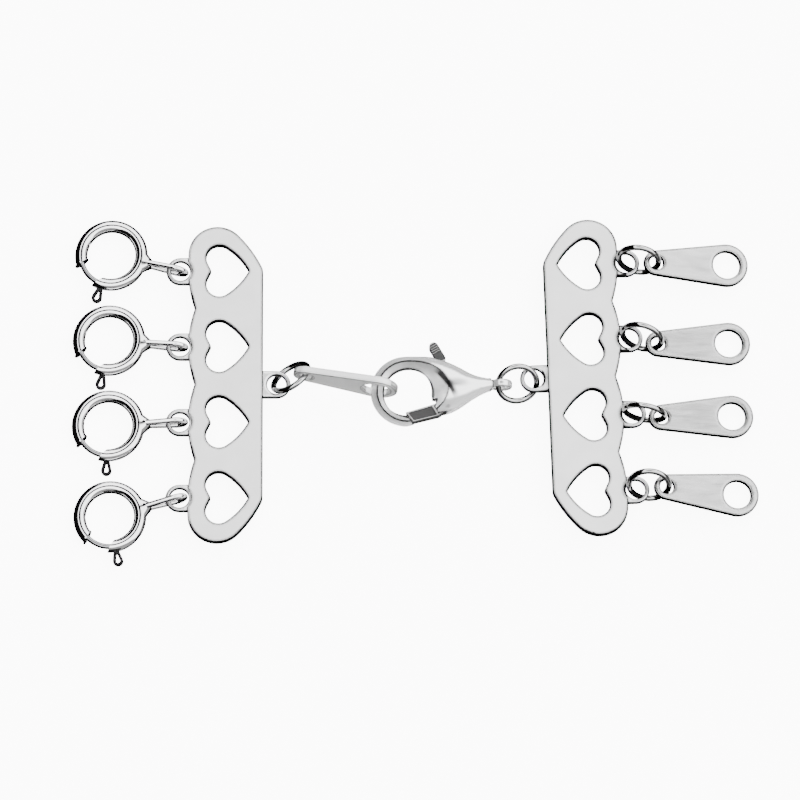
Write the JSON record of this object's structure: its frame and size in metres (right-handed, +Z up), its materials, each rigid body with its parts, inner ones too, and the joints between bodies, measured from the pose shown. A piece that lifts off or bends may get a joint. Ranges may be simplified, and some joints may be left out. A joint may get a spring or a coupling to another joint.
{
  "type": "multi-strand clasp",
  "caption": "Silver clasp for a bracelet of several strands: pierced heart plates joined by a lobster claw, with spring rings at one side and tags at the other.",
  "frame": {"origin": "middle of the underside's bounding box, on the surface the clasp lies on", "axes": "+X along the bracelet from the spring rings to the tags, +Y across it, +Z up from the surface"},
  "size_m": [0.0562, 0.0294, 0.0038],
  "materials": {
    "plate_silver": "polished sterling silver",
    "bolt_steel": "polished sterling silver",
    "ring_silver": "polished sterling silver",
    "wire_silver": "polished sterling silver",
    "tag_silver": "polished sterling silver",
    "lever_silver": "polished sterling silver",
    "lobster_silver": "polished sterling silver"
  },
  "bodies": {
    "clasp_frame": {"centre_link_left": "wire_silver", "centre_link_right": "wire_silver", "centre_tag": "tag_silver", "left_plate": "plate_silver", "lobster_body": "lobster_silver", "lobster_pin": "lever_silver", "right_plate": "plate_silver", "spring_ring_1": "ring_silver", "spring_ring_2": "ring_silver", "spring_ring_3": "ring_silver", "spring_ring_4": "ring_silver", "strand_link_1": "wire_silver", "strand_link_2": "wire_silver", "strand_link_3": "wire_silver", "strand_link_4": "wire_silver", "strand_tag_1": "tag_silver", "strand_tag_2": "tag_silver", "strand_tag_3": "tag_silver", "strand_tag_4": "tag_silver"},
    "bolt_1": {"spring_bolt_1": "bolt_steel"},
    "bolt_2": {"spring_bolt_2": "bolt_steel"},
    "bolt_3": {"spring_bolt_3": "bolt_steel"},
    "bolt_4": {"spring_bolt_4": "bolt_steel"},
    "lever": {"lobster_lever": "lever_silver"}
  },
  "joints": [
    {"name": "lever_hinge", "type": "hinge", "parent": "clasp_frame", "child": "lever", "pos_m": [0.00264, -0.00132, 0.0016], "axis": [0, 0, -1], "range_deg": [0, 18], "stiffness_Nm_per_rad": 0.002, "springref_deg": -11.46},
    {"name": "bolt_1_slide_round", "type": "hinge", "parent": "clasp_frame", "child": "bolt_1", "pos_m": [-0.02493, 0.01166, 0.00078], "axis": [-0.0653, 0.0166, 0.9977], "range_deg": [0, 42], "stiffness_Nm_per_rad": 0.001, "springref_deg": -17.19},
    {"name": "bolt_2_slide_round", "type": "hinge", "parent": "clasp_frame", "child": "bolt_2", "pos_m": [-0.02508, 0.00442, 0.00078], "axis": [-0.067, 0.0072, 0.9977], "range_deg": [0, 42], "stiffness_Nm_per_rad": 0.001, "springref_deg": -17.19},
    {"name": "bolt_3_slide_round", "type": "hinge", "parent": "clasp_frame", "child": "bolt_3", "pos_m": [-0.02511, -0.00282, 0.00078], "axis": [-0.0673, -0.0024, 0.9977], "range_deg": [0, 42], "stiffness_Nm_per_rad": 0.001, "springref_deg": -17.19},
    {"name": "bolt_4_slide_round", "type": "hinge", "parent": "clasp_frame", "child": "bolt_4", "pos_m": [-0.02493, -0.0105, 0.00078], "axis": [-0.0652, -0.017, 0.9977], "range_deg": [0, 42], "stiffness_Nm_per_rad": 0.001, "springref_deg": -17.19}
  ]
}
